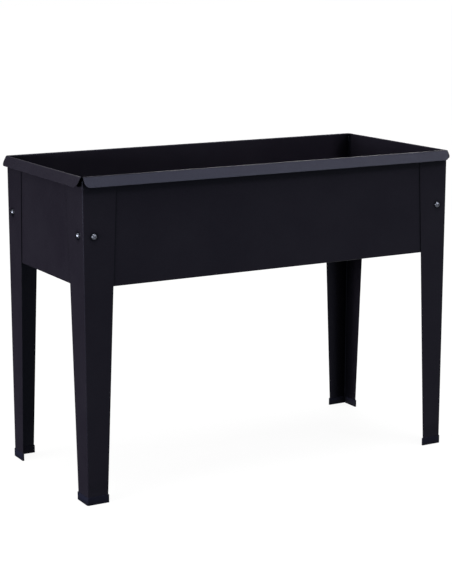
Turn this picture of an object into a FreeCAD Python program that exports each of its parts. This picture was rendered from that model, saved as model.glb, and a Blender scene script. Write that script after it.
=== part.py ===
import FreeCAD, Part
import math
import os
import Sketcher

# Raised garden bed on legs: four folded sheet panels are bolted between four tapered angle legs, and a tray
# with drain holes lies on the panels' inward flanges. +Z is up and the origin is on the floor under the
# middle of the bed. X runs along the long sides and the front faces -Y. Lengths are millimetres.

SIZES = {
    "body_length": (1000, "over the outside of the legs, along X"),
    "body_width": (440, "over the outside of the legs, along Y"),
    "rim_height": (762, "floor to the top of the rim"),
    "wall_depth": (254, "top of the rim to the lower edge of the panels"),
    "panel_sheet": (0.8, "sheet that the panels are folded from"),
    "panel_gap": (0.3, "room between panels where they meet at a corner"),
    "rim_fold_radius": (2, "inside of the fold along the top edge"),
    "rim_angle": (28, "slope of the lip from the vertical, in degrees"),
    "rim_width": (24.5, "flat of the lip, measured down its slope"),
    "rim_corner_radius": (14, "round lower corners of the lip"),
    "floor_flange": (9, "inward flange along a panel's lower edge"),
    "floor_fold_radius": (0.8, "inside of the fold along the lower edge"),
    "tab_gap": (0.3, "room between the top of a leg and the tab that carries the lip's end"),
    "leg_sheet": (1.2, "sheet that the legs are folded from"),
    "leg_fold_radius": (1.8, "inside of the leg's fold"),
    "leg_top_gap": (10, "top of the rim to the top of a leg"),
    "long_flange_top": (83.5, "width of a leg's flange on a long side, at its top"),
    "long_flange_foot": (51, "width of the same flange at its foot"),
    "end_flange_top": (88, "width of a leg's flange on an end, at its top"),
    "end_flange_foot": (52, "width of the same flange at its foot"),
    "cap_height": (19, "foot cap, floor to top edge"),
    "cap_floor": (3, "sole of the foot cap under the leg"),
    "cap_wall": (1.6, "wall of the foot cap"),
    "cap_gap": (0.15, "room between foot cap and leg"),
    "cap_edge_radius": (0.8, "upright edges at the ends of a cap"),
    "long_bolt_inset": (26.7, "corner of the leg to the bolt of a long side"),
    "end_bolt_inset": (28.5, "corner of the leg to the bolt of an end"),
    "bolt_drop": (136, "top of the rim to the bolt"),
    "bolt_diameter": (6, "shank of the bolt"),
    "bolt_tail": (3, "shank that stands out of the nut"),
    "head_diameter": (14, "round head of the bolt"),
    "head_height": (5, "top of the dome above the leg"),
    "head_edge": (0.9, "upright edge round the dome"),
    "socket_width": (4, "hexagon socket across its flats"),
    "socket_depth": (2, "socket below the top of the dome"),
    "hole_clearance": (0.6, "bolt holes wider than the bolt"),
    "nut_width": (10, "hexagon nut across its flats"),
    "nut_height": (5, "thickness of the nut"),
    "thread_clearance": (0.2, "bore of the nut wider than the bolt"),
    "tray_sheet": (0.8, "sheet that the base tray is folded from"),
    "tray_height": (13, "rim of the tray, turned down all round"),
    "tray_gap": (1.5, "room between the tray and the panels"),
    "tray_fold_radius": (1.2, "inside of the tray's folds"),
    "tray_corner_gap": (1, "how far the tray's open corners are cut beyond its folds"),
    "drain_diameter": (10, "drain holes"),
    "drain_margin": (90, "edge of the tray to the first drain hole"),
    "drain_columns": (4, "drain holes along X"),
    "drain_rows": (2, "drain holes along Y"),
    "brace_width": (40, "cross brace under the tray"),
    "brace_sheet": (1, "sheet that the brace is folded from"),
    "brace_fold_radius": (1, "inside of the brace's folds"),
    "brace_spacing": (324, "middle of one brace to middle of the other"),
    "brace_end_gap": (0.5, "room between a brace and the fold of the tray"),
}

PLACES = {
    "panel_bottom": ("sizes.rim_height - sizes.wall_depth", "lower edge of the panels"),
    "floor_top": ("places.panel_bottom + sizes.panel_sheet", "upper side of the inward flanges"),
    "floor_fold_top": ("places.floor_top + sizes.floor_fold_radius", "where the lower fold ends"),
    "rim_fold_height": ("sizes.rim_height - sizes.panel_sheet - sizes.rim_fold_radius",
                        "middle of the rim's fold"),
    "leg_top": ("sizes.rim_height - sizes.leg_top_gap", "top of the legs"),
    "tab_bottom": ("places.leg_top + sizes.tab_gap", "lower edge of the tab that carries the lip's end"),
    "leg_fold_outside": ("sizes.leg_fold_radius + sizes.leg_sheet", "outside of the leg's fold"),
    "long_leg_face": ("sizes.body_width / 2", "front of the legs, from the middle"),
    "long_face": ("places.long_leg_face - sizes.leg_sheet", "outside of a long panel"),
    "long_inside": ("places.long_face - sizes.panel_sheet", "inside of a long panel"),
    "long_half": ("sizes.body_length / 2 - sizes.leg_sheet", "middle to end of a long panel's rim"),
    "long_wall_half": ("sizes.body_length / 2 - places.leg_fold_outside - sizes.panel_gap",
                       "middle to end of a long panel's wall, clear of the legs' folds"),
    "long_bolt": ("sizes.body_length / 2 - sizes.long_bolt_inset", "middle to the bolts of a long side"),
    "end_leg_face": ("sizes.body_length / 2", "side of the legs, from the middle"),
    "end_face": ("places.end_leg_face - sizes.leg_sheet", "outside of an end panel"),
    "end_inside": ("places.end_face - sizes.panel_sheet", "inside of an end panel"),
    "end_half": ("places.long_inside - sizes.panel_gap", "middle to end of an end panel's rim"),
    "end_wall_half": ("sizes.body_width / 2 - places.leg_fold_outside - sizes.panel_gap",
                      "middle to end of an end panel's wall, clear of the legs' folds"),
    "end_bolt": ("sizes.body_width / 2 - sizes.end_bolt_inset", "middle to the bolts of an end"),
    "end_flange_half": ("places.long_face - sizes.floor_flange - sizes.panel_gap",
                        "middle to end of an end panel's floor flange, between the long ones"),
    "bolt_height": ("sizes.rim_height - sizes.bolt_drop", "bolts above the floor"),
    "bolt_radius": ("sizes.bolt_diameter / 2", "shank of the bolt"),
    "bolt_length": ("sizes.leg_sheet + sizes.panel_sheet + sizes.nut_height + sizes.bolt_tail",
                    "shank through leg, panel and nut"),
    "head_radius": ("sizes.head_diameter / 2", "round head of the bolt"),
    "hole_radius": ("(sizes.bolt_diameter + sizes.hole_clearance) / 2", "bolt holes"),
    "nut_bore_radius": ("(sizes.bolt_diameter + sizes.thread_clearance) / 2", "bore of the nut"),
    "cap_depth": ("sizes.cap_height - sizes.cap_floor", "how far a leg goes into its cap"),
    "cap_share": ("places.cap_depth / (places.leg_top - sizes.cap_floor)", "the same, as a share of a leg"),
    "long_cap_slot": ("sizes.long_flange_foot + sizes.cap_gap"
                      " + max(0; sizes.long_flange_top - sizes.long_flange_foot) * places.cap_share",
                      "end of a cap's slot on a long side, at the widest of the leg inside it"),
    "end_cap_slot": ("sizes.end_flange_foot + sizes.cap_gap"
                     " + max(0; sizes.end_flange_top - sizes.end_flange_foot) * places.cap_share",
                     "the same on an end"),
    "long_cap_end": ("places.long_cap_slot + sizes.cap_wall", "end of a cap on a long side"),
    "end_cap_end": ("places.end_cap_slot + sizes.cap_wall", "end of a cap on an end"),
    "cap_slot_inner": ("sizes.leg_sheet + sizes.cap_gap", "inner side of the slot"),
    "cap_inner": ("places.cap_slot_inner + sizes.cap_wall", "inner side of a cap"),
    "cap_outer": ("sizes.cap_gap + sizes.cap_wall", "how far a cap stands out of the leg"),
    "tray_half_length": ("places.end_inside - sizes.tray_gap", "middle to end of the tray"),
    "tray_half_width": ("places.long_inside - sizes.tray_gap", "middle to side of the tray"),
    "tray_top": ("places.floor_top + sizes.tray_height", "upper side of the tray"),
    "tray_underside": ("places.tray_top - sizes.tray_sheet", "inside of the tray's plate"),
    "tray_fold_outside": ("sizes.tray_fold_radius + sizes.tray_sheet", "outside of the tray's folds"),
    "tray_inner_length": ("places.tray_half_length - sizes.tray_sheet", "middle to inside of an end rim"),
    "tray_inner_width": ("places.tray_half_width - sizes.tray_sheet", "middle to inside of a side rim"),
    "tray_rim_length": ("places.tray_half_length - places.tray_fold_outside - sizes.tray_corner_gap",
                        "middle to the open corner, along X"),
    "tray_rim_width": ("places.tray_half_width - places.tray_fold_outside - sizes.tray_corner_gap",
                       "middle to the open corner, along Y"),
    "drain_start_x": ("places.tray_half_length - sizes.drain_margin", "middle to the outer drain holes"),
    "drain_start_y": ("places.tray_half_width - sizes.drain_margin", "middle to the outer drain holes"),
    "drain_radius": ("sizes.drain_diameter / 2", "drain holes"),
    "brace_underside": ("places.tray_underside - sizes.brace_sheet", "inside of a brace's top"),
    "brace_half_outer": ("sizes.brace_width / 2", "outside of a brace's sides"),
    "brace_half_inner": ("places.brace_half_outer - sizes.brace_sheet", "inside of a brace's sides"),
    "brace_half_length": ("places.tray_half_width - places.tray_fold_outside - sizes.brace_end_gap",
                          "middle to end of a brace, clear of the tray's fold"),
}

# Each side is drawn with its outside towards +Y and is turned into place about Z.
SIDES = {
    "back": ("long", 0),
    "left_end": ("end", 90),
    "front": ("long", 180),
    "right_end": ("end", -90),
}

# Each leg is drawn with its outer corner at the origin and its flanges along +X and +Y, then turned to its
# corner. The last two words say on which side of the bed those flanges end up.
CORNERS = {
    "front_left": (-1, -1, 0, "long", "end"),
    "front_right": (1, -1, 90, "end", "long"),
    "back_right": (1, 1, 180, "long", "end"),
    "back_left": (-1, 1, 270, "end", "long"),
}

# How a sketch names the points of its geometry, its own origin and its two axes.
START, END, CENTRE = range(1, 4)
H_AXIS, V_AXIS = range(-1, -3, -1)
ORIGIN = (H_AXIS, START)
UP = FreeCAD.Vector(0, 0, 1)
TOUCHING = 1e-4

doc = FreeCAD.newDocument("raised_garden_bed")


def fill_sheet(name, rows, prefix):
    """Writes one row per value: its alias, the value itself and what it measures."""
    sheet = doc.addObject("Spreadsheet::Sheet", name)
    for row, (alias, (content, note)) in enumerate(rows.items(), start=1):
        sheet.set(f"A{row}", alias)
        sheet.set(f"B{row}", f"{prefix}{content}")
        sheet.setAlias(f"B{row}", alias)
        sheet.set(f"C{row}", note)
    doc.recompute()


def number(cell):
    """Value of a cell that is named as in an expression, such as sizes.rim_height or -places.cap_outer."""
    sheet, alias = cell.lstrip("-").split(".")
    size = float(doc.getObject(sheet).get(alias))
    return -size if cell.startswith("-") else size


def point(x, y):
    return FreeCAD.Vector(number(x) if x else 0, number(y) if y else 0, 0)


def origin_feature(body, role):
    return next(feature for feature in body.Origin.OriginFeatures if feature.Role == role)


def new_body(label):
    body = doc.addObject("PartDesign::Body", label)
    body.Label = label
    body.AllowCompound = True
    return body


def attach(feature, body, role, offset=(0, 0, 0)):
    """Lays a sketch or primitive on a plane of its own body, moved along that plane's axes by cells."""
    feature.AttachmentSupport = [(origin_feature(body, role), "")]
    feature.MapMode = "FlatFace"
    for axis, cell in zip("xyz", offset):
        if cell:
            feature.setExpression(f"AttachmentOffset.Base.{axis}", cell)


def new_sketch(body, name, role, offset=(0, 0, 0)):
    sketch = body.newObject("Sketcher::SketchObject", name)
    attach(sketch, body, role, offset)
    return sketch


def hold(sketch, kind, parts, cell):
    """Adds a dimension whose value follows a cell."""
    index = sketch.addConstraint(Sketcher.Constraint(kind, *parts, number(cell)))
    sketch.setExpression(f"Constraints[{index}]", cell)


def hold_point(sketch, item, end, x, y):
    """Fixes a point of the sketch by one cell for each coordinate, or on the axis where that is 0."""
    for kind, axis, cell in (("DistanceX", V_AXIS, x), ("DistanceY", H_AXIS, y)):
        if cell:
            hold(sketch, kind, (*ORIGIN, item, end), cell)
        else:
            sketch.addConstraint(Sketcher.Constraint("PointOnObject", item, end, axis))


def straight_sides(sketch, corners, closed=True):
    """Straight lines from corner to corner, each corner given as a pair of cells."""
    points = [point(x, y) for x, y in corners]
    ends = points[1:] + points[:1] if closed else points[1:]
    lines = [sketch.addGeometry(Part.LineSegment(start, end)) for start, end in zip(points, ends)]
    join(sketch, "Coincident", [(item, END, after, START) for item, after in zip(lines, lines[1:])])
    for item, (x, y) in zip(lines, corners):
        hold_point(sketch, item, START, x, y)
    if closed:
        join(sketch, "Coincident", [(lines[-1], END, lines[0], START)])
    else:
        hold_point(sketch, lines[-1], END, *corners[-1])
    return lines


def rectangle(sketch, left, right, bottom, top):
    straight_sides(sketch, [(left, bottom), (right, bottom), (right, top), (left, top)])


def circle(sketch, x, y, radius):
    item = sketch.addGeometry(Part.Circle(point(x, y), UP, number(radius)))
    hold_point(sketch, item, CENTRE, x, y)
    hold(sketch, "Radius", (item,), radius)


def line(x1, y1, x2, y2):
    return Part.LineSegment(FreeCAD.Vector(x1, y1, 0), FreeCAD.Vector(x2, y2, 0))


def arc(centre, radius, start, end):
    """Arc drawn anticlockwise between two angles in degrees."""
    return Part.ArcOfCircle(Part.Circle(centre, UP, radius), math.radians(start), math.radians(end))


def join(sketch, kind, pairs):
    for first, first_end, second, second_end in pairs:
        sketch.addConstraint(Sketcher.Constraint(kind, first, first_end, second, second_end))


def pad(body, sketch, length, reverse=False, both_ways=False):
    feature = body.newObject("PartDesign::Pad", f"{sketch.Name}_pad")
    feature.Profile = sketch
    feature.Reversed = reverse
    feature.SideType = "Symmetric" if both_ways else "One side"
    feature.setExpression("Length", length)


def cut(body, sketch, depth=None, along_normal=True):
    """Cuts the outline to a depth on one side of the sketch, or right through, and checks that it did."""
    doc.recompute()
    before = body.Shape.Volume
    feature = body.newObject("PartDesign::Pocket", f"{sketch.Name}_cut")
    feature.Profile = sketch
    feature.Reversed = along_normal
    if depth:
        feature.setExpression("Length", depth)
    else:
        feature.Type = "ThroughAll"
        feature.SideType = "Symmetric"
    doc.recompute()
    if body.Shape.Volume >= before:
        raise RuntimeError(f"{feature.Name} cuts nothing")
    return feature


def round_edges(body, name, radius, chosen):
    """Rounds the edges of the body that pass the test."""
    doc.recompute()
    base = body.Tip
    edges = [f"Edge{index}" for index, edge in enumerate(base.Shape.Edges, start=1) if chosen(edge)]
    feature = body.newObject("PartDesign::Fillet", name)
    feature.Base = (base, edges)
    feature.setExpression("Radius", radius)
    doc.recompute()


def upright_at(x, y):
    """Test for an upright edge that stands at a point of the plan, given as two cells."""
    spot = point(x, y)

    def chosen(edge):
        return all(math.hypot(end.X - spot.x, end.Y - spot.y) < TOUCHING for end in edge.Vertexes)
    return chosen


def is_upright(edge):
    box = edge.BoundBox
    return max(box.XLength, box.YLength) < TOUCHING


def level_fold(axis, distance, height):
    """Test for a level edge at a height that stays at one distance, along x or y, on either side."""
    reach = number(distance)
    level = number(height)

    def chosen(edge):
        ends = [vertex.Point for vertex in edge.Vertexes]
        offsets = [(abs(getattr(spot, axis)) - reach, spot.z - level) for spot in ends + [edge.CenterOfMass]]
        return all(math.hypot(*offset) < TOUCHING for offset in offsets)
    return chosen


def mirror(body):
    """Adds the left half of a body that was drawn to the right of the middle."""
    doc.recompute()
    feature = body.newObject("PartDesign::Mirrored", f"{body.Name}_both_halves")
    feature.TransformMode = "Whole shape"
    feature.MirrorPlane = (origin_feature(body, "YZ_Plane"), [""])
    body.Tip = feature
    doc.recompute()


def turn(body, degrees):
    body.Placement = FreeCAD.Placement(FreeCAD.Vector(), FreeCAD.Rotation(UP, degrees))


def panel_section(body, kind):
    """Cross-section of a panel: inward floor flange, upright wall, fold over the top and sloping lip.

    The section is one closed outline of constant thickness. Its outer chain runs from the tip of the floor
    flange to the tip of the lip, and its inner chain runs back round the same two fold centres.
    """
    sketch = new_sketch(body, f"{body.Name}_section", "YZ_Plane")
    face = number(f"places.{kind}_face")
    sheet = number("sizes.panel_sheet")
    bottom = number("places.panel_bottom")
    low_radius = number("sizes.floor_fold_radius")
    top_radius = number("sizes.rim_fold_radius")
    slope = number("sizes.rim_angle")
    tip = face - number("sizes.floor_flange")
    low = FreeCAD.Vector(face - sheet - low_radius, bottom + sheet + low_radius, 0)
    top = FreeCAD.Vector(face + top_radius, number("places.rim_fold_height"), 0)
    across = FreeCAD.Vector(math.cos(math.radians(slope)), math.sin(math.radians(slope)), 0)
    down = FreeCAD.Vector(across.y, -across.x, 0) * number("sizes.rim_width")
    lip_under = top + across * top_radius
    lip_over = top + across * (top_radius + sheet)
    flange_out = sketch.addGeometry(line(tip, bottom, low.x, bottom))
    low_out = sketch.addGeometry(arc(low, low_radius + sheet, -90, 0))
    wall_out = sketch.addGeometry(line(face, low.y, face, top.y))
    top_in = sketch.addGeometry(arc(top, top_radius, slope, 180))
    lip_in = sketch.addGeometry(Part.LineSegment(lip_under, lip_under + down))
    lip_tip = sketch.addGeometry(Part.LineSegment(lip_under + down, lip_over + down))
    lip_out = sketch.addGeometry(Part.LineSegment(lip_over + down, lip_over))
    top_out = sketch.addGeometry(arc(top, top_radius + sheet, slope, 180))
    wall_in = sketch.addGeometry(line(face - sheet, top.y, face - sheet, low.y))
    low_in = sketch.addGeometry(arc(low, low_radius, -90, 0))
    flange_in = sketch.addGeometry(line(low.x, bottom + sheet, tip, bottom + sheet))
    flange_tip = sketch.addGeometry(line(tip, bottom + sheet, tip, bottom))
    join(sketch, "Tangent", [
        (flange_out, END, low_out, START), (low_out, END, wall_out, START),
        (wall_out, END, top_in, END), (top_in, START, lip_in, START),
        (lip_out, END, top_out, START), (top_out, END, wall_in, START),
        (wall_in, END, low_in, END), (low_in, START, flange_in, START),
    ])
    join(sketch, "Coincident", [
        (lip_in, END, lip_tip, START), (lip_tip, END, lip_out, START),
        (flange_in, END, flange_tip, START), (flange_tip, END, flange_out, START),
        (low_out, CENTRE, low_in, CENTRE), (top_in, CENTRE, top_out, CENTRE),
    ])
    for level in (flange_out, flange_in):
        sketch.addConstraint(Sketcher.Constraint("Horizontal", level))
    for upright in (wall_out, wall_in, flange_tip):
        sketch.addConstraint(Sketcher.Constraint("Vertical", upright))
    sketch.addConstraint(Sketcher.Constraint("Parallel", lip_in, lip_out))
    sketch.addConstraint(Sketcher.Constraint("Perpendicular", lip_in, lip_tip))
    hold(sketch, "Radius", (low_in,), "sizes.floor_fold_radius")
    hold(sketch, "Radius", (top_in,), "sizes.rim_fold_radius")
    hold(sketch, "Distance", (flange_tip,), "sizes.panel_sheet")
    hold(sketch, "Distance", (lip_in,), "sizes.rim_width")
    hold(sketch, "DistanceX", (flange_out, START, wall_out, START), "sizes.floor_flange")
    hold(sketch, "DistanceX", (*ORIGIN, wall_out, START), f"places.{kind}_face")
    hold(sketch, "DistanceY", (*ORIGIN, flange_out, START), "places.panel_bottom")
    hold(sketch, "DistanceY", (*ORIGIN, top_in, CENTRE), "places.rim_fold_height")
    angle = sketch.addConstraint(Sketcher.Constraint("Angle", wall_in, lip_in, math.radians(slope)))
    sketch.setExpression(f"Constraints[{angle}]", "sizes.rim_angle * 1 deg")
    return sketch


def make_panel(label, kind, angle):
    """Folded panel, drawn as its right half and mirrored.

    The wall stops short of the leg's fold, and a tab above the leg carries the lip on to the corner.
    """
    body = new_body(label)
    half = f"places.{kind}_half"
    beyond = f"places.{'end' if kind == 'long' else 'long'}_leg_face"
    pad(body, panel_section(body, kind), half)
    relief = new_sketch(body, f"{label}_corner_relief", "XZ_Plane")
    rectangle(relief, f"places.{kind}_wall_half", beyond, 0, "places.tab_bottom")
    cut(body, relief, f"places.{kind}_face", along_normal=False)
    if kind == "end":
        notch = new_sketch(body, f"{label}_floor_notch", "XZ_Plane")
        rectangle(notch, "places.end_flange_half", beyond, 0, "places.floor_fold_top")
        cut(body, notch)
    hole = new_sketch(body, f"{label}_hole", "XZ_Plane")
    circle(hole, f"places.{kind}_bolt", "places.bolt_height", "places.hole_radius")
    cut(body, hole)
    end = number(half)
    lip_edge = body.Shape.BoundBox.YMax - number("sizes.panel_sheet")

    def lip_corner(edge):
        at_end = all(abs(vertex.X - end) < TOUCHING for vertex in edge.Vertexes)
        return at_end and edge.CenterOfMass.y > lip_edge
    round_edges(body, f"{label}_lip_round", "min(sizes.rim_corner_radius; sizes.rim_width)", lip_corner)
    mirror(body)
    turn(body, angle)
    return body


def make_bolts(label, kind, angle):
    """The two bolts of one side: a domed head with a hexagon socket outside the leg, the shank inside."""
    body = new_body(label)
    axis = (f"places.{kind}_bolt", f"places.{kind}_leg_face", "places.bolt_height")
    sketch = new_sketch(body, f"{label}_profile", "XY_Plane", axis)
    lines = straight_sides(sketch, [
        (0, "sizes.head_height"), (0, "-places.bolt_length"),
        ("places.bolt_radius", "-places.bolt_length"), ("places.bolt_radius", 0),
        ("places.head_radius", 0), ("places.head_radius", "sizes.head_edge"),
    ], closed=False)
    radius = number("places.head_radius")
    crown = number("sizes.head_height") - number("sizes.head_edge")
    dome_radius = (radius ** 2 + crown ** 2) / (2 * crown)
    centre = FreeCAD.Vector(0, number("sizes.head_height") - dome_radius, 0)
    edge_angle = math.degrees(math.asin((dome_radius - crown) / dome_radius))
    dome = sketch.addGeometry(arc(centre, dome_radius, edge_angle, 90))
    join(sketch, "Coincident", [(lines[-1], END, dome, START), (dome, END, lines[0], START)])
    sketch.addConstraint(Sketcher.Constraint("PointOnObject", dome, CENTRE, V_AXIS))
    bolt = body.newObject("PartDesign::Revolution", f"{label}_turned")
    bolt.Profile = sketch
    bolt.ReferenceAxis = (sketch, ["V_Axis"])
    bolt.Angle = 360
    top = f"-places.{kind}_leg_face - sizes.head_height"
    socket = body.newObject("PartDesign::SubtractivePrism", f"{label}_socket")
    attach(socket, body, "XZ_Plane", (f"places.{kind}_bolt", "places.bolt_height", top))
    socket.Polygon = 6
    socket.setExpression("Circumradius", "sizes.socket_width / sqrt(3)")
    socket.setExpression("Height", "sizes.socket_depth")
    mirror(body)
    turn(body, angle)
    return body


def make_nuts(label, kind, angle):
    """The two hexagon nuts of one side, against the inside of the panel."""
    body = new_body(label)
    offset = (f"places.{kind}_bolt", "places.bolt_height", f"-places.{kind}_inside")
    hexagon = body.newObject("PartDesign::AdditivePrism", f"{label}_hexagon")
    attach(hexagon, body, "XZ_Plane", offset)
    hexagon.Polygon = 6
    hexagon.setExpression("Circumradius", "sizes.nut_width / sqrt(3)")
    hexagon.setExpression("Height", "sizes.nut_height")
    bore = body.newObject("PartDesign::SubtractiveCylinder", f"{label}_bore")
    attach(bore, body, "XZ_Plane", offset)
    bore.setExpression("Radius", "places.nut_bore_radius")
    bore.setExpression("Height", "sizes.nut_height")
    mirror(body)
    turn(body, angle)
    return body


def stand_at_corner(body, corner):
    x_sign, y_sign, angle = CORNERS[corner][:3]
    turn(body, angle)
    body.setExpression("Placement.Base.x", f"{x_sign} * sizes.body_length / 2")
    body.setExpression("Placement.Base.y", f"{y_sign} * sizes.body_width / 2")


def make_leg(corner):
    """Folded angle whose two flanges narrow evenly from the top to the foot."""
    label = f"{corner}_leg"
    body = new_body(label)
    along_x, along_y = CORNERS[corner][3:]
    for role, kind in (("XZ_Plane", along_x), ("YZ_Plane", along_y)):
        flange = new_sketch(body, f"{label}_{kind}_flange", role)
        straight_sides(flange, [
            (0, "sizes.cap_floor"), (f"sizes.{kind}_flange_foot", "sizes.cap_floor"),
            (f"sizes.{kind}_flange_top", "places.leg_top"), (0, "places.leg_top"),
        ])
        pad(body, flange, "sizes.leg_sheet", reverse=role == "XZ_Plane")
    round_edges(body, f"{label}_outer_fold", "places.leg_fold_outside", upright_at(0, 0))
    inner = upright_at("sizes.leg_sheet", "sizes.leg_sheet")
    round_edges(body, f"{label}_inner_fold", "sizes.leg_fold_radius", inner)
    for role, kind in (("XZ_Plane", along_x), ("YZ_Plane", along_y)):
        hole = new_sketch(body, f"{label}_{kind}_hole", role)
        circle(hole, f"sizes.{kind}_bolt_inset", "places.bolt_height", "places.hole_radius")
        cut(body, hole)
    stand_at_corner(body, corner)
    return body


def angle_outline(sketch, outer, inner, x_end, y_end):
    """Plan of an angle with one arm along X and one along Y, from its outer corner to its inner one."""
    straight_sides(sketch, [
        (outer, outer), (x_end, outer), (x_end, inner), (inner, inner), (inner, y_end), (outer, y_end),
    ])


def make_foot_cap(corner):
    """Moulded shoe that is pushed over a leg: an angle with a slot of the leg's own shape."""
    label = f"{corner}_foot_cap"
    body = new_body(label)
    along_x, along_y = CORNERS[corner][3:]
    x_end = f"places.{along_x}_cap_end"
    y_end = f"places.{along_y}_cap_end"
    outline = new_sketch(body, f"{label}_outline", "XY_Plane")
    angle_outline(outline, "-places.cap_outer", "places.cap_inner", x_end, y_end)
    pad(body, outline, "sizes.cap_height")
    slot = new_sketch(body, f"{label}_slot", "XY_Plane", (0, 0, "sizes.cap_floor"))
    angle_outline(slot, "-sizes.cap_gap", "places.cap_slot_inner",
                  f"places.{along_x}_cap_slot", f"places.{along_y}_cap_slot")
    cut(body, slot, "places.cap_depth")
    rounds = (
        ("corner", "places.leg_fold_outside + places.cap_outer", "-places.cap_outer"),
        ("slot_corner", "places.leg_fold_outside + sizes.cap_gap", "-sizes.cap_gap"),
        ("slot_inside", "sizes.leg_fold_radius", "places.cap_slot_inner"),
    )
    for name, radius, spot in rounds:
        round_edges(body, f"{label}_{name}", radius, upright_at(spot, spot))

    def arm_corner(edge):
        spot = edge.Vertexes[0]
        at_end = min(abs(spot.X - number(x_end)), abs(spot.Y - number(y_end))) < TOUCHING
        return at_end and is_upright(edge)
    round_edges(body, f"{label}_arm_ends", "sizes.cap_edge_radius", arm_corner)
    stand_at_corner(body, corner)
    return body


def channel(body, name, role, outer, inner, levels, half_length):
    """Folded channel with its open side down, drawn on a plane and carried both ways from it."""
    bottom, underside, top = levels
    section = new_sketch(body, name, role)
    straight_sides(section, [
        (f"-{outer}", bottom), (f"-{inner}", bottom), (f"-{inner}", underside), (inner, underside),
        (inner, bottom), (outer, bottom), (outer, top), (f"-{outer}", top),
    ])
    pad(body, section, f"2 * {half_length}", both_ways=True)


def make_tray():
    """Folded tray, open side down: two crossed channels make a plate with four rims and open corners."""
    body = new_body("base_tray")
    top = "places.tray_top"
    underside = "places.tray_underside"
    levels = ("places.floor_top", underside, top)
    length = "places.tray_half_length"
    width = "places.tray_half_width"
    inner_length = "places.tray_inner_length"
    inner_width = "places.tray_inner_width"
    channel(body, "base_tray_side_rims", "YZ_Plane", width, inner_width, levels, "places.tray_rim_length")
    channel(body, "base_tray_end_rims", "XZ_Plane", length, inner_length, levels, "places.tray_rim_width")
    folds = (
        ("side_outside", "places.tray_fold_outside", level_fold("y", width, top)),
        ("end_outside", "places.tray_fold_outside", level_fold("x", length, top)),
        ("side_inside", "sizes.tray_fold_radius", level_fold("y", inner_width, underside)),
        ("end_inside", "sizes.tray_fold_radius", level_fold("x", inner_length, underside)),
    )
    for name, radius, chosen in folds:
        round_edges(body, f"base_tray_{name}", radius, chosen)
    drain = new_sketch(body, "base_tray_drain", "XY_Plane")
    circle(drain, "-places.drain_start_x", "-places.drain_start_y", "places.drain_radius")
    first_hole = cut(body, drain)
    holes = body.newObject("PartDesign::LinearPattern", "base_tray_drain_holes")
    holes.Originals = [first_hole]
    holes.Direction = (origin_feature(body, "X_Axis"), [""])
    holes.Direction2 = (origin_feature(body, "Y_Axis"), [""])
    holes.setExpression("Length", "2 * places.drain_start_x")
    holes.setExpression("Length2", "2 * places.drain_start_y")
    holes.setExpression("Occurrences", "round(sizes.drain_columns)")
    holes.setExpression("Occurrences2", "round(sizes.drain_rows)")
    body.Tip = holes
    return body


def make_brace(side, sign):
    """Folded channel that carries the tray from one long panel to the other."""
    label = f"{side}_base_brace"
    body = new_body(label)
    outer = "places.brace_half_outer"
    inner = "places.brace_half_inner"
    top = "places.tray_underside"
    underside = "places.brace_underside"
    levels = ("places.floor_top", underside, top)
    channel(body, f"{label}_section", "XZ_Plane", outer, inner, levels, "places.brace_half_length")
    folds = (
        ("outside", "sizes.brace_fold_radius + sizes.brace_sheet", level_fold("x", outer, top)),
        ("inside", "sizes.brace_fold_radius", level_fold("x", inner, underside)),
    )
    for name, radius, chosen in folds:
        round_edges(body, f"{label}_{name}", radius, chosen)
    body.setExpression("Placement.Base.x", f"{sign} * sizes.brace_spacing / 2")
    return body


def check_and_write(pieces):
    """Stops on any failed step or broken solid, then writes one file per piece."""
    doc.recompute()
    failed = [item.Name for item in doc.Objects if {"Invalid", "Error"} & set(item.State)]
    broken = [piece.Label for piece in pieces if piece.Shape.isNull() or not piece.Shape.isValid()]
    if failed or broken:
        raise RuntimeError(f"failed steps {failed}, broken pieces {broken}")
    os.makedirs("parts", exist_ok=True)
    for piece in pieces:
        piece.Shape.exportStep(f"parts/{piece.Label}.step")
        print(piece.Label, len(piece.Shape.Solids), round(piece.Shape.Volume, 1), piece.Shape.BoundBox)


def main():
    fill_sheet("sizes", SIZES, "")
    fill_sheet("places", PLACES, "=")
    pieces = [make_tray()]
    for side, (kind, angle) in SIDES.items():
        pieces.append(make_panel(f"{side}_panel", kind, angle))
        pieces.append(make_bolts(f"{side}_bolts", kind, angle))
        pieces.append(make_nuts(f"{side}_nuts", kind, angle))
    for corner in CORNERS:
        pieces.append(make_leg(corner))
        pieces.append(make_foot_cap(corner))
    pieces.append(make_brace("left", -1))
    pieces.append(make_brace("right", 1))
    check_and_write(pieces)


main()
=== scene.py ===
# %% [markdown]
# # A raised garden bed on legs
# The bed is a box of folded steel sheet that stands on four tapered angle legs, all powder-coated
# black. The shapes of the metal are finished solids already, so this lesson keeps them and does three
# things: it makes the small screws with their threads, gives every piece its real finish, and sets up a
# white photo studio.

# %% Load the solids
import math

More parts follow.
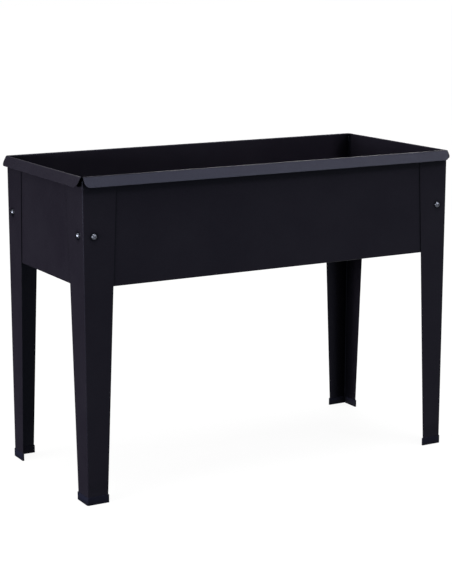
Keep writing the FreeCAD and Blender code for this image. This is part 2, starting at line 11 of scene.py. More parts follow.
import bmesh
import bpy
import numpy as np
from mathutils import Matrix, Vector


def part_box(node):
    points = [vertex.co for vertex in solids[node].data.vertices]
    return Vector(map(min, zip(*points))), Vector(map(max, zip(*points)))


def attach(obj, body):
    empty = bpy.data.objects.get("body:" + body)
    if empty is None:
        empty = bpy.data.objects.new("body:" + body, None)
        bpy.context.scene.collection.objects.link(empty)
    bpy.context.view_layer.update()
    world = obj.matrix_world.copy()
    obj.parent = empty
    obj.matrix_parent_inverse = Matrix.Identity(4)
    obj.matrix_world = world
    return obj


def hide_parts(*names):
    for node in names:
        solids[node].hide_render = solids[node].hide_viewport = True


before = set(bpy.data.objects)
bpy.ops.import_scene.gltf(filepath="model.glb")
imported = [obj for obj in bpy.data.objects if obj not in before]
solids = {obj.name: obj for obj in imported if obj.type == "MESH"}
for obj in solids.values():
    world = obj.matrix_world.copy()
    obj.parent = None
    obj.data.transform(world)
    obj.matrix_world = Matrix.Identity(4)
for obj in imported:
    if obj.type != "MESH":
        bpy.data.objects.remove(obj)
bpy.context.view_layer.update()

# %% [markdown]
# ## Camera
# The photograph was taken from the front left, a little above the rim and from about four metres away.
# A long lens keeps the legs nearly parallel. The frame is taller than wide, so the lens is measured on
# the sensor's height, and the camera is aimed with a quaternion that turns its -Z axis onto the line to
# the target.

# %% Camera
CAMERA_AT = (-1.97805, -3.47634, 1.25580)
CAMERA_AIM = (-0.00415, 0.01180, 0.40892)
SENSOR_HEIGHT = 36.0
FOCAL_LENGTH = 100.304


def put_in_scene(name, data):
    """Makes an object of a camera, a lamp or a mesh and links it to the scene."""
    made = bpy.data.objects.new(name, data)
    bpy.context.scene.collection.objects.link(made)
    return made


def aim(holder, at, target):
    """Puts a camera or a lamp at a point, its -Z axis on the line to a target, and returns the distance."""
    line = Vector(target) - Vector(at)
    holder.location = at
    holder.rotation_euler = line.to_track_quat("-Z", "Y").to_euler()
    return line.length


lens = bpy.data.cameras.new("photo_camera")
lens.sensor_fit = "VERTICAL"
lens.sensor_height = SENSOR_HEIGHT
lens.lens = FOCAL_LENGTH
camera = put_in_scene("photo_camera", lens)
distance = aim(camera, CAMERA_AT, CAMERA_AIM)
bpy.context.scene.camera = camera
bpy.context.scene.view_settings.view_transform = "Standard"
print("camera distance:", round(distance, 3), "m")

# %% [markdown]
# ## Helpers for finishes
# A finish is a small graph of nodes. One helper adds a node, sets its properties and fills its inputs,
# which are either plain values or outputs of nodes made before. Colours are written as sRGB hex values,
# the way a paint card gives them, and Blender needs them linear. Pattern sizes are written in
# millimetres, and a texture node's scale is how many patterns fit into one metre.

# %% Helpers for finishes
MM = 1000.0  # in a metre


def linear(code):
    """Linear RGBA of an sRGB hex colour: v/12.92 in the dark part, ((v+0.055)/1.055)^2.4 above it."""
    srgb = np.array([int(code[place:place + 2], 16) for place in (1, 3, 5)]) / 255
    rgb = np.where(srgb <= 0.04045, srgb / 12.92, ((srgb + 0.055) / 1.055) ** 2.4)
    return (*rgb.tolist(), 1.0)


def per_metre(millimetres):
    """Scale of a texture node: the millimetres of a metre over those of one pattern."""
    return MM / millimetres


def add(material, kind, inputs=None, **settings):
    """Adds one node. An input is a value, or the output socket of an earlier node, which is linked."""
    tree = material.node_tree
    made = tree.nodes.new(kind)
    for name, value in settings.items():
        setattr(made, name, value)
    for name, value in (inputs or {}).items():
        if isinstance(value, bpy.types.NodeSocket):
            tree.links.new(value, made.inputs[name])
        else:
            made.inputs[name].default_value = value
    return made


def new_finish(name):
    """A material with no nodes yet."""
    material = bpy.data.materials.new(name)
    material.use_nodes = True
    material.node_tree.nodes.clear()
    return material


print("mid grey #808080 is", round(linear("#808080")[0], 4), "in linear light")

# %% [markdown]
# ## Edges and corners of a coat
# Charged powder draws thin along sharp edges, so those look a shade greyer. Corners, the seams between
# two pieces and the strip under a lip get a painted shade in the coat's colour, standing for the shade
# that falls there. All these places could be painted by hand on a picture. Two nodes find them for any
# shape: Bevel gives the normal of a rounded copy, which differs from the true one at an edge, and Ambient
# Occlusion sends out a few rays and gives the share of them that stay free.

# %% Edges and corners of a coat
FEW_RAYS = 4
FLAT_MATCH = 0.98
EDGE_MATCH = 0.80
FREE_SHARE = 0.98
CORNER_CURVE = 0.6
SHADE_REACH = 60 / MM
SHADE_CLOSED = 0.21
SHADE_MOST = 0.92


def sharp_edges(finish, radius):
    """Mask from 0 to 1 as the rounded normal turns away from the true one, by their dot product."""
    rounded = add(finish, "ShaderNodeBevel", {"Radius": radius}, samples=FEW_RAYS)
    surface = add(finish, "ShaderNodeNewGeometry")
    match = add(finish, "ShaderNodeVectorMath", {0: rounded.outputs["Normal"],
                                                 1: surface.outputs["Normal"]}, operation="DOT_PRODUCT")
    return add(finish, "ShaderNodeMapRange", {"Value": match.outputs["Value"], "From Min": FLAT_MATCH,
                                              "From Max": EDGE_MATCH}).outputs["Result"]


# Mask for the painted shade in corners, seams and under lips, from Ambient Occlusion.
def narrow_corners(finish, alone, reach=SHADE_REACH, closed=SHADE_CLOSED, most=SHADE_MOST, rays=FEW_RAYS):
    """Mask of most * ((b - 0.02) / (closed - 0.02))^0.6, with b the share of rays that hit within reach.

    Rays hit only the piece itself if it is taken alone, and every piece otherwise.
    """
    near = add(finish, "ShaderNodeAmbientOcclusion", {"Distance": reach}, samples=rays, only_local=alone)
    share = add(finish, "ShaderNodeMapRange", {"Value": near.outputs["AO"], "From Min": FREE_SHARE,
                                               "From Max": 1 - closed})
    curve = add(finish, "ShaderNodeMath", {0: share.outputs["Result"], 1: CORNER_CURVE},
                operation="POWER")
    return add(finish, "ShaderNodeMath", {0: curve.outputs["Value"], 1: most},
               operation="MULTIPLY").outputs["Value"]


print("a wide shade is looked for within", SHADE_REACH * MM, "mm")

# %% [markdown]
# ## Ripple of the coat
# The panels and legs are sprayed with dry paint powder that is baked to a tough skin. Such a skin is
# never flat: it has a shallow ripple called orange peel and a finer grain that blurs reflections. A
# real ripple is about two millimetres from crest to crest, less than one dot of this picture, so a
# second one is drawn four times as wide to show at all. Three bumps follow each other, each on the
# normal that the last one gave.

# %% Ripple of the coat
PEEL = 2.2
WIDE_PEEL = 4 * PEEL


def coat_ripple(finish, place, grain):
    """Normal of the skin: a wide ripple 0.3 mm deep, a narrow one of 0.2 mm and a grain of 0.06 mm."""
    wide = add(finish, "ShaderNodeTexNoise", {"Vector": place, "Scale": per_metre(WIDE_PEEL),
                                              "Detail": 2.0})
    peel = add(finish, "ShaderNodeTexNoise", {"Vector": place, "Scale": per_metre(PEEL), "Detail": 2.0})
    broad = add(finish, "ShaderNodeBump", {"Height": wide.outputs["Fac"], "Strength": 0.5,
                                           "Distance": 0.3 / MM})
    ripple = add(finish, "ShaderNodeBump", {"Height": peel.outputs["Fac"], "Strength": 0.8,
                                            "Distance": 0.2 / MM, "Normal": broad.outputs["Normal"]})
    return add(finish, "ShaderNodeBump", {"Height": grain, "Strength": 0.5, "Distance": 0.06 / MM,
                                          "Normal": ripple.outputs["Normal"]}).outputs["Normal"]


print("ripples in a metre:", round(per_metre(PEEL)), "and", round(per_metre(WIDE_PEEL)))

# %% [markdown]
# ## Painted shade on the coat
# The coat's colour is darkened in three kinds of place, a painted shade where real shade falls. Seams
# between two pieces get a painted contact shadow, which fades out just above the caps. One blocked ray
# is enough to darken a point, so a thin seam gets more rays than the rest, or it would hardly show. A
# wider painted shade lies under the lips, strong on the long sides and faint on the ends, and fades out
# above the caps as well. The third is painted shade in the inner fold of a leg, where the leg alone
# counts. The darkest of the three wins.

# %% Painted shade on the coat
SEAM_REACH = 12 / MM
SEAM_CLOSED = 0.085
SEAM_RAYS = 12
OVER_CAP = 25 / MM
CLEAR_OF_CAP = 55 / MM
END_SHARE = 0.22


def painted_coat_shade(finish, place, folded):
    """Mask of the painted shade: the most of seam * above, shade * above * share and, if folded, fold.

    Above goes from 0 just over a cap to 1 clear of it, and share from 0.22 on an end to 1 on a long side.
    """
    height = add(finish, "ShaderNodeSeparateXYZ", {"Vector": place}).outputs["Z"]
    above = add(finish, "ShaderNodeMapRange", {"Value": height, "From Min": OVER_CAP,
                                               "From Max": CLEAR_OF_CAP}).outputs["Result"]
    thin = narrow_corners(finish, alone=False, reach=SEAM_REACH, closed=SEAM_CLOSED, most=1.0,
                          rays=SEAM_RAYS)
    seam = add(finish, "ShaderNodeMath", {0: thin, 1: above}, operation="MULTIPLY")
    normal = add(finish, "ShaderNodeNewGeometry").outputs["True Normal"]
    facing = add(finish, "ShaderNodeSeparateXYZ", {"Vector": normal})
    long_side = add(finish, "ShaderNodeMath", {0: facing.outputs["Y"]}, operation="ABSOLUTE")
    share = add(finish, "ShaderNodeMapRange", {"Value": long_side.outputs["Value"], "To Min": END_SHARE})
    reached = add(finish, "ShaderNodeMath", {0: share.outputs["Result"], 1: above}, operation="MULTIPLY")
    shade = narrow_corners(finish, alone=False)
    under = add(finish, "ShaderNodeMath", {0: shade, 1: reached.outputs["Value"]}, operation="MULTIPLY")
    outer = add(finish, "ShaderNodeMath", {0: seam.outputs["Value"], 1: under.outputs["Value"]},
                operation="MAXIMUM").outputs["Value"]
    if not folded:
        return outer
    return add(finish, "ShaderNodeMath", {0: outer, 1: narrow_corners(finish, alone=True)},
               operation="MAXIMUM").outputs["Value"]


print("a seam is looked for within", SEAM_REACH * MM, "mm")

# %% [markdown]
# ## Powder coat
# The skin is an even dark polyester with a soft sheen. A thin dust film in hand-wide clouds keeps a
# large panel from looking printed. The tray and its braces get a duller coat. White walls all round are
# far more than a real room gives a dark coat to mirror, so the mirror part of the shader is set low.

# %% Powder coat
GRAIN = 0.5
FILM = 160.0
FILM_MOST = 0.22
EDGE_RADIUS = 1.2 / MM
EDGE_MOST = 0.45
GLOSS_SWING = 0.05
COAT_MIRROR = 0.07
# The third colour of each coat is the painted shade in seams, corners and under the lips.
SATIN_BLACK = ("#16141b", "#29282f", "#050508")
DULL_BLACK = ("#1a191f", "#2e2e32", "#09080c")


def powder_coat(name, colours, roughness, folded=False):
    """Baked polyester skin in three colours: the plain coat, worn edges with the dust, a painted shade."""
    plain, worn, deep = map(linear, colours)
    finish = new_finish(name)
    place = add(finish, "ShaderNodeTexCoord").outputs["Object"]
    grain = add(finish, "ShaderNodeTexNoise", {"Vector": place, "Scale": per_metre(GRAIN),
                                               "Detail": 3.0}).outputs["Fac"]
    dust_film_and_sole_shade = add(finish, "ShaderNodeTexNoise", {"Vector": place, "Scale": per_metre(FILM), "Detail": 9.0,
                                              "Roughness": 0.65})
    dusty = add(finish, "ShaderNodeMapRange", {"Value": dust_film_and_sole_shade.outputs["Fac"], "From Min": 0.35,
                                               "From Max": 0.75, "To Max": FILM_MOST})
    edge = add(finish, "ShaderNodeMath", {0: sharp_edges(finish, EDGE_RADIUS), 1: EDGE_MOST},
               operation="MULTIPLY")
    pale = add(finish, "ShaderNodeMath", {0: edge.outputs["Value"], 1: dusty.outputs["Result"]},
               operation="MAXIMUM")
    skin = add(finish, "ShaderNodeMix", {"Factor": pale.outputs["Value"], "A": plain, "B": worn},
               data_type="RGBA")
    # Painted shade: the colour goes towards the third colour as far as the mask says.
    coat = add(finish, "ShaderNodeMix", {"Factor": painted_coat_shade(finish, place, folded),
                                         "A": skin.outputs["Result"], "B": deep}, data_type="RGBA")
    gloss = add(finish, "ShaderNodeMapRange", {"Value": grain, "From Min": 0.3, "From Max": 0.7,
                                               "To Min": roughness - GLOSS_SWING,
                                               "To Max": roughness + GLOSS_SWING})
    shader = add(finish, "ShaderNodeBsdfPrincipled", {
        "Base Color": coat.outputs["Result"], "Roughness": gloss.outputs["Result"], "IOR": 1.5,
        "Specular IOR Level": COAT_MIRROR, "Specular Tint": linear("#ccd8ff"),
        "Normal": coat_ripple(finish, place, grain)})
    add(finish, "ShaderNodeOutputMaterial", {"Surface": shader.outputs["BSDF"]})
    return finish


panel_coat = powder_coat("powder_coated_steel_panel", SATIN_BLACK, roughness=0.285)
leg_coat = powder_coat("powder_coated_steel_leg", SATIN_BLACK, roughness=0.285, folded=True)
tray_coat = powder_coat("powder_coated_steel_tray", DULL_BLACK, roughness=0.5)
print("coats:", [coat.name for coat in (panel_coat, leg_coat, tray_coat)])

# %% [markdown]
# ## Moulded foot caps
# The four shoes under the legs are injection-moulded polypropylene, a slightly bluish black. The mould
# is spark-eroded, which leaves a fine even grain of a few tenths of a millimetre and hides scratches.
# A painted shade darkens the sole and fades out over the lowest centimetre, and the inner corner gets
# the same painted shade as a leg's fold.

# %% Moulded foot caps
SPARK_GRAIN = 0.6
GLOSS_AND_SHADE_PATCH = 14.0
SOLE_SHADE_TOP = 12 / MM
SOLE_SHADE_MOST = 1.3
CAP_MIRROR = 0.05


def moulded_plastic(name, colour, painted_shade):
    """Spark-grained polypropylene, a soft blurred sheen, painted shade at the sole and in the corner."""
    finish = new_finish(name)
    place = add(finish, "ShaderNodeTexCoord").outputs["Object"]
    grain = add(finish, "ShaderNodeTexNoise", {"Vector": place, "Scale": per_metre(SPARK_GRAIN),
                                               "Detail": 3.0})
    patch = add(finish, "ShaderNodeTexNoise", {"Vector": place, "Scale": per_metre(GLOSS_AND_SHADE_PATCH),
                                               "Detail": 3.0}).outputs["Fac"]
    height = add(finish, "ShaderNodeSeparateXYZ", {"Vector": place}).outputs["Z"]
    # Painted contact shadow at the sole: darkest at the floor, gone twelve millimetres up, in random
    # patches.
    low = add(finish, "ShaderNodeMapRange", {"Value": height, "From Min": 0.0, "From Max": SOLE_SHADE_TOP,
                                             "To Min": SOLE_SHADE_MOST, "To Max": 0.0})
    dust_film_and_sole_shade = add(finish, "ShaderNodeMath", {0: low.outputs["Result"], 1: patch}, operation="MULTIPLY")
    skin = add(finish, "ShaderNodeMix", {"Factor": dust_film_and_sole_shade.outputs["Value"], "A": linear(colour),
                                         "B": linear(painted_shade)}, data_type="RGBA")
    # Painted shade in the cap's inner corner, as in a leg's fold.
    body = add(finish, "ShaderNodeMix", {"Factor": narrow_corners(finish, alone=True),
                                         "A": skin.outputs["Result"], "B": linear(painted_shade)},
               data_type="RGBA")
    gloss = add(finish, "ShaderNodeMapRange", {"Value": patch, "To Min": 0.48, "To Max": 0.62})
    bump = add(finish, "ShaderNodeBump", {"Height": grain.outputs["Fac"], "Strength": 0.3,
                                          "Distance": 0.06 / MM})
    shader = add(finish, "ShaderNodeBsdfPrincipled", {
        "Base Color": body.outputs["Result"], "Roughness": gloss.outputs["Result"], "IOR": 1.49,
        "Specular IOR Level": CAP_MIRROR, "Normal": bump.outputs["Normal"]})
    add(finish, "ShaderNodeOutputMaterial", {"Surface": shader.outputs["BSDF"]})
    return finish


# The second colour is the painted shade at the sole and in the corner.
cap_plastic = moulded_plastic("moulded_polypropylene_cap", "#131420", "#07070c")
print("cap finish:", cap_plastic.name)

# %% [markdown]
# ## Zinc plate
# The bolts and nuts are steel with a thin plated layer of zinc, a cool grey metal. Plating follows the
# turned surface under it, so the sheen is uneven: cloudy patches of a few millimetres and a fine grain.
# A metal has no colour of its own apart from what it mirrors, here a white room, so a rather dark grey
# gives the right tone.

# %% Zinc plate
CLOUD = 3.0
PLATE_GRAIN = 0.3


def zinc_plate(name, colour, cloud):
    """Bright zinc over turned steel: a grey metal with a blurred mirror and cloudy patches."""
    finish = new_finish(name)
    place = add(finish, "ShaderNodeTexCoord").outputs["Object"]
    patch = add(finish, "ShaderNodeTexNoise", {"Vector": place, "Scale": per_metre(CLOUD),
                                               "Detail": 4.0}).outputs["Fac"]
    grain = add(finish, "ShaderNodeTexNoise", {"Vector": place, "Scale": per_metre(PLATE_GRAIN),
                                               "Detail": 2.0})
    skin = add(finish, "ShaderNodeMix", {"Factor": patch, "A": linear(colour), "B": linear(cloud)},
               data_type="RGBA")
    gloss = add(finish, "ShaderNodeMapRange", {"Value": patch, "To Min": 0.28, "To Max": 0.40})
    bump = add(finish, "ShaderNodeBump", {"Height": grain.outputs["Fac"], "Strength": 0.2,
                                          "Distance": 0.02 / MM})
    shader = add(finish, "ShaderNodeBsdfPrincipled", {
        "Base Color": skin.outputs["Result"], "Metallic": 1.0, "Roughness": gloss.outputs["Result"],
        "Normal": bump.outputs["Normal"]})
    add(finish, "ShaderNodeOutputMaterial", {"Surface": shader.outputs["BSDF"]})
    return finish


fastener_zinc = zinc_plate("zinc_plated_steel", "#595c65", "#4a4d56")
print("fastener finish:", fastener_zinc.name)

# %% [markdown]
# ## Dress the solids
# The folded sheets, the caps and the tray are right as they are. Each could get a copy of its mesh to
# carry the finish, but then two shapes would have to be kept alike. Each solid already has one material
# slot, and putting a finish into that slot changes the look and leaves the shape alone.

# %% Dress the solids
FINISHES = {"_panel": panel_coat, "_leg": leg_coat, "_tray": tray_coat, "_brace": tray_coat,
            "_cap": cap_plastic, "_bolts": fastener_zinc, "_nuts": fastener_zinc}

for node_name, solid in solids.items():
    ending = next(ending for ending in FINISHES if node_name.endswith(ending))
    solid.data.materials.clear()
    solid.data.materials.append(FINISHES[ending])
print("dressed:", sorted(solids))

# %% [markdown]
# ## Bolts
# One bolt goes through each flange of each leg: an M6 screw with a domed head and a hexagon socket. A
# real one is cold-headed and its thread is rolled. It could be lathed from a profile, but a lathe makes
# neither the hexagon nor the thread. So the bolt is one grid surface with an angle around it and a ring
# for each station along it. A table gives every ring its radius and height, and says whether it is
# threaded or hexagonal.

# %% Bolt rings
PITCH = 1.0
RINGS_PER_TURN = 10
THREAD_DEPTH = 0.55
THREAD_START = 0.3
THREAD_END = 0.6
SHANK_RADIUS = 3.0
HEAD_HEIGHT = 5.0
HEAD_EDGE = 0.9
HEAD_BREAK = 0.2
DOME_RINGS = 12
SOCKET_CORNER = 4.0 / math.sqrt(3)
SOCKET_DEPTH = 2.0
SOCKET_BREAK = 0.3
DRILL_POINT = 0.6


def rings(radius, height, thread=0.0, hexed=0.0):
    """Rows of radius, height, share of thread and share of hexagon, one row for each ring."""
    return np.stack(np.broadcast_arrays(radius, height, thread, hexed), axis=-1)


def bolt_rings(head_radius, length):
    """Rings, in mm, from the tip's middle to the socket's bottom, with the head's underside at 0.

    The dome is a sphere's cap, z = top - R + sqrt(R^2 - r^2), round at its rim and hexed at the socket.
    """
    turns = np.arange(-length + THREAD_START, -THREAD_END, PITCH / RINGS_PER_TURN)
    crown = HEAD_HEIGHT - HEAD_EDGE
    sphere = (head_radius ** 2 + crown ** 2) / (2 * crown)
    dome = np.linspace(head_radius, SOCKET_CORNER, DOME_RINGS)
    rise = HEAD_HEIGHT - sphere + np.sqrt(sphere ** 2 - dome ** 2)
    bottom = HEAD_HEIGHT - SOCKET_DEPTH
    return np.concatenate([
        rings([0, SHANK_RADIUS - THREAD_DEPTH], -length),
        rings(SHANK_RADIUS, turns, thread=1),
        rings([SHANK_RADIUS, head_radius - HEAD_BREAK, head_radius], [0, 0, HEAD_BREAK]),
        rings(dome, rise, hexed=np.linspace(0, 1, DOME_RINGS) ** 3),
        rings([SOCKET_CORNER, SOCKET_CORNER, 0],
              [rise[-1] - SOCKET_BREAK, bottom, bottom - DRILL_POINT], hexed=1)])


print("rings of a 10 mm bolt:", len(bolt_rings(7.0, 10.0)))

# %% [markdown]
# ## From rings to a surface
# Every ring becomes 48 points. On the shank a wave that climbs one pitch per turn is taken off the
# radius, which is a screw thread. In the socket the radius follows a hexagon instead of a circle.

# %% Bolt surface
AROUND = 48
ANGLE = np.linspace(0, 2 * math.pi, AROUND, endpoint=False)


def hexagon(angle):
    """Share of the corner radius at which a flat lies: cos 30 over cos of the angle to its middle."""
    return math.cos(math.pi / 6) / np.cos(np.mod(angle, math.pi / 3) - math.pi / 6)


def bolt_surface(table):
    """Grid of points: r = (radius - depth * thread * wave) * (1 + hexed * (hexagon - 1)) at each angle.

    The wave is a triangle wave of (z / pitch + angle / turn), from 0 at the crest to 1 at the root.
    """
    radius, height, thread, hexed = table.T[:, :, None]
    wave = np.abs(np.mod(height / PITCH + ANGLE / (2 * math.pi), 1) * 2 - 1)
    ring = (radius - THREAD_DEPTH * thread * wave) * (1 + hexed * (hexagon(ANGLE) - 1))
    return np.stack(np.broadcast_arrays(ring * np.cos(ANGLE), ring * np.sin(ANGLE), height), axis=-1)


print("grid of a 10 mm bolt:", bolt_surface(bolt_rings(7.0, 10.0)).shape)

# %% [markdown]
# ## Nuts
# A hexagon nut sits on each bolt inside the bed. Its corners are turned to a cone at both faces, which
# leaves the curved bites that every real nut has. The same kind of grid makes it: the ring's radius is
# the hexagon's, and where that is more than the cone's, the height drops by the difference times the
# tangent of 30 degrees.

# %% Nut surface
NUT_BORE = 2.9
BORE_CHAMFER = 0.4
FACE_SHARE = 0.97


def nut_surface(width, height):
    """Grid of points, in mm: from the bore out, up the flats, back in over the top and down the bore."""
    flat = width / math.sqrt(3) * hexagon(ANGLE)
    cone = np.full(AROUND, width / 2 * FACE_SHARE)
    bite = (flat - cone) * math.tan(math.pi / 6)
    inner = np.full(AROUND, NUT_BORE)
    mouth = inner + BORE_CHAMFER
    low = np.zeros(AROUND)
    high = low + height
    ring = np.stack([inner, mouth, cone, flat, flat, cone, mouth, inner, inner])
    level = np.stack([low + BORE_CHAMFER, low, low, bite, high - bite, high, high, high - BORE_CHAMFER,
                      low + BORE_CHAMFER])
    return np.stack([ring * np.cos(ANGLE), ring * np.sin(ANGLE), level], axis=-1)


print("grid of an M6 nut:", nut_surface(10.0, 5.0).shape)

# %% [markdown]
# ## A closed pair of screws
# The two screws of a side are one piece. Every side has an outward direction, a direction along the
# side, and up, and a point of the grid is carried along these three. A ring of no radius is 48 points
# in one place, so doubles are merged, which closes the tip of a bolt, the bottom of its socket and the
# bore of a nut.

# %% A closed pair of screws
UP = np.array((0.0, 0.0, 1.0))
MERGE_WITHIN = 0.001 / MM


def grid_faces(rows, columns):
    """Quads between neighbouring rings, closed around: corner, next around, the two above."""
    row, column = np.meshgrid(np.arange(rows - 1), np.arange(columns), indexing="ij")
    after = (column + 1) % columns
    corners = [row * columns + column, row * columns + after,
               (row + 1) * columns + after, (row + 1) * columns + column]
    return np.stack(corners, axis=-1).reshape(-1, 4)


def pair_mesh(name, grid, outward, seat, spread, level):
    """Two copies of a grid, whose own x, y, z go along the side, up and outward.

    Their origins lie at seat * outward + level * up - spread * along, and the same with + spread.
    """
    along = np.cross(UP, outward)
    axes = np.stack([along, UP, outward])
    copies = [grid.reshape(-1, 3) / MM @ axes + outward * seat + UP * level + along * side * spread
              for side in (-1, 1)]
    faces = grid_faces(*grid.shape[:2])
    mesh = bpy.data.meshes.new(name)
    mesh.from_pydata(np.concatenate(copies).tolist(), [],
                     np.concatenate([faces, faces + len(copies[0])]).tolist())
    merged = bmesh.new()
    merged.from_mesh(mesh)
    bmesh.ops.remove_doubles(merged, verts=merged.verts, dist=MERGE_WITHIN)
    merged.to_mesh(mesh)
    volume = merged.calc_volume(signed=True) * MM ** 3
    rims = sum(edge.is_boundary for edge in merged.edges)
    merged.free()
    print(name, "volume:", round(volume), "mm3, open edges:", rims)
    return mesh


print("quads between two rings:", len(grid_faces(2, AROUND)))

# %% [markdown]
# ## Place the screws
# The screws could be placed by typed numbers, but those would go wrong with the first change of a leg.
# So each place is read from the solid that a screw stands for: that solid's box gives the middle line
# of the heads and how far they are apart. A head sits on the outer face of a leg, so the leg's box
# gives its seat. The new piece then takes the solid's place in the picture.

# %% Place the screws
OUTWARD = {"front": (0, -1, 0), "back": (0, 1, 0), "left_end": (-1, 0, 0), "right_end": (1, 0, 0)}
BOLT_CREASE = 35
NUT_CREASE = 25


def screw_piece(mesh, node, crease):
    """Shades the mesh smooth up to an edge angle, in degrees, and lets it stand for a solid."""
    mesh.shade_smooth()
    mesh.set_sharp_from_angle(angle=math.radians(crease))
    mesh.materials.append(fastener_zinc)
    piece = put_in_scene(mesh.name, mesh)
    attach(piece, "root")
    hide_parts(node)


leg_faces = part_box("front_left_leg")[0]
for side, direction in OUTWARD.items():
    outward = np.array(direction, float)
    axis = 1 if direction[0] == 0 else 0
    bolt_low, bolt_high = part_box(f"{side}_bolts")
    nut_low, nut_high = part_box(f"{side}_nuts")
    head_radius = (bolt_high.z - bolt_low.z) / 2
    level = (bolt_high.z + bolt_low.z) / 2
    spread = bolt_high[1 - axis] - head_radius
    tip = min(abs(bolt_low[axis]), abs(bolt_high[axis]))
    nut_top, nut_end = sorted((abs(nut_low[axis]), abs(nut_high[axis])))
    seat = abs(leg_faces[axis])
    bolt = bolt_surface(bolt_rings(head_radius * MM, (seat - tip) * MM))
    nut = nut_surface((nut_high.z - nut_low.z) * MM, (nut_end - nut_top) * MM)
    bolts = pair_mesh(f"{side}_threaded_bolts", bolt, outward, seat, spread, level)
    nuts = pair_mesh(f"{side}_hexagon_nuts", nut, outward, nut_top, spread, level)
    screw_piece(bolts, f"{side}_bolts", BOLT_CREASE)
    screw_piece(nuts, f"{side}_nuts", NUT_CREASE)

# %% [markdown]
# ## Studio
# The photograph has a pure white ground with hardly a shadow. White is given to the floor and the world
# only where the camera, a reflection or a see-through ray looks at them, so it puts no extra light on
# the bed. The floor adds a plain diffuse part to that glow, and this part carries the bed's soft
# shadow.

# %% Studio
GLOW = 0.93
AMBIENT = 0.05
FLOOR_HALF = 30.0


def seen_directly(material):
    """1 for rays from the camera, a reflection or through glass, 0 for rays that only carry light."""
    path = add(material, "ShaderNodeLightPath")
    shiny = add(material, "ShaderNodeMath", {0: path.outputs["Is Camera Ray"],
                                             1: path.outputs["Is Glossy Ray"]}, operation="MAXIMUM")
    return add(material, "ShaderNodeMath", {0: shiny.outputs["Value"],
                                            1: path.outputs["Is Transmission Ray"]},
               operation="MAXIMUM").outputs["Value"]


ground = new_finish("white_studio_floor")
glow_strength = add(ground, "ShaderNodeMath", {0: seen_directly(ground), 1: GLOW}, operation="MULTIPLY")
glow = add(ground, "ShaderNodeEmission", {"Strength": glow_strength.outputs["Value"]})
matt = add(ground, "ShaderNodeBsdfDiffuse", {"Color": linear("#3f3f3f")})
both = add(ground, "ShaderNodeAddShader", {0: glow.outputs["Emission"], 1: matt.outputs["BSDF"]})
add(ground, "ShaderNodeOutputMaterial", {"Surface": both.outputs["Shader"]})

floor_mesh = bpy.data.meshes.new("studio_floor")
floor_mesh.from_pydata([(-FLOOR_HALF, -FLOOR_HALF, 0), (FLOOR_HALF, -FLOOR_HALF, 0),
                        (FLOOR_HALF, FLOOR_HALF, 0), (-FLOOR_HALF, FLOOR_HALF, 0)], [], [(0, 1, 2, 3)])
floor_mesh.materials.append(ground)
floor = put_in_scene("studio_floor", floor_mesh)

sky = bpy.data.worlds.new("white_studio")
sky.use_nodes = True
sky.node_tree.nodes.clear()
strength = add(sky, "ShaderNodeMapRange", {"Value": seen_directly(sky), "To Min": AMBIENT, "To Max": 1.0})
backing = add(sky, "ShaderNodeBackground", {"Color": linear("#ffffff"),
                                            "Strength": strength.outputs["Result"]})
add(sky, "ShaderNodeOutputWorld", {"Surface": backing.outputs["Background"]})
bpy.context.scene.world = sky
print("floor half width:", FLOOR_HALF, "m, world light:", AMBIENT)

# %% [markdown]
# ## Black card
# Dark paint shows whatever stands opposite. Photographers put a black card just outside the picture
# where a dark side would otherwise mirror the white room. This one lies on the floor beside and behind
# the bed and stands up behind it, as high as leaves the end lip a little of the white room to mirror.
# Its notch lets the inner side of the back left leg mirror the white floor. Only reflections see the
# card: it casts no shadow and takes no light.

# %% Black card
CARD_OUTLINE = [(-3.4, -0.3), (-0.5, -0.3), (-0.5, 0.25), (0.7, 0.25), (0.7, 1.8), (-3.4, 1.8)]
CARD_LEVEL = 2 / MM
CARD_TOP = 1.5

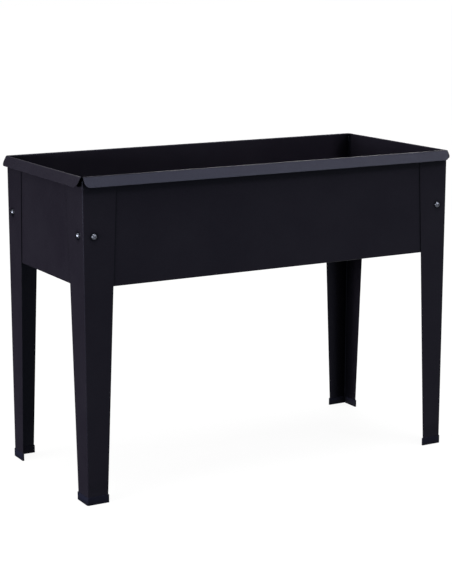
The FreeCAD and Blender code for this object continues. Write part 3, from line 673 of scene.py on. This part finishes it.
velvet = new_finish("black_velvet_card")
pile = add(velvet, "ShaderNodeBsdfDiffuse", {"Color": linear("#0a0a0c")})
add(velvet, "ShaderNodeOutputMaterial", {"Surface": pile.outputs["BSDF"]})
lying = [(x, y, CARD_LEVEL) for x, y in CARD_OUTLINE]
raised = [(x, y, CARD_TOP) for x, y in reversed(CARD_OUTLINE[-2:])]
card_mesh = bpy.data.meshes.new("black_card")
card_mesh.from_pydata(lying + raised, [], [(0, 1, 2, 3, 4, 5), (4, 7, 6, 5)])
card_mesh.materials.append(velvet)
card = put_in_scene("black_card", card_mesh)
card.visible_camera = False
card.visible_diffuse = False
card.visible_transmission = False
card.visible_shadow = False
print("card corners:", len(lying + raised))

# %% [markdown]
# ## Lamps
# Soft boxes are area lamps. A wide strip high at the front right hangs parallel to the sloping front
# lip, which mirrors it towards the camera and so becomes the brightest metal of the picture. A long low
# strip at the left, just above the rim's height, lights the end panel. It could be a tall box, but that
# would shine over the rim onto the far inside wall. It is tilted down, which gives the legs as much
# light at the foot as at the top. A box behind keeps the far sides from sinking into black, and a whole
# ceiling of cloth, drawn as a sun with a wide disc, draws the upper edges and lights the floor evenly
# as far as the horizon.

# %% Lamps
BED_MIDDLE = (0.0, 0.0, 0.7)


def soft_box(name, at, width, height, watts, towards=BED_MIDDLE):
    """Area lamp that faces the bed, or a given point, and is left out of the picture itself."""
    lamp = bpy.data.lights.new(name, "AREA")
    lamp.shape = "RECTANGLE"
    lamp.size = width
    lamp.size_y = height
    lamp.energy = watts
    holder = put_in_scene(name, lamp)
    holder.visible_camera = False
    aim(holder, at, towards)
    print(name, watts, "W at", at)


def ceiling(name, spread, strength):
    """Even light from straight above, as from a whole ceiling of cloth: a sun with a very wide disc."""
    lamp = bpy.data.lights.new(name, "SUN")
    lamp.angle = math.radians(spread)
    lamp.energy = strength
    put_in_scene(name, lamp)
    print(name, strength, "W per square metre")


soft_box("lip_strip", at=(1.55, -1.98, 2.63), width=3.0, height=0.6, watts=77.0,
         towards=(1.55, -0.23, 0.75))
soft_box("left_strip", at=(-3.0, -0.2, 0.90), width=2.4, height=0.4, watts=201.0,
         towards=(-2.0, -0.2, -0.5))
soft_box("back_box", at=(1.8, 3.0, 1.5), width=2.0, height=1.4, watts=60.0)
ceiling("ceiling_cloth", spread=34, strength=4.8)
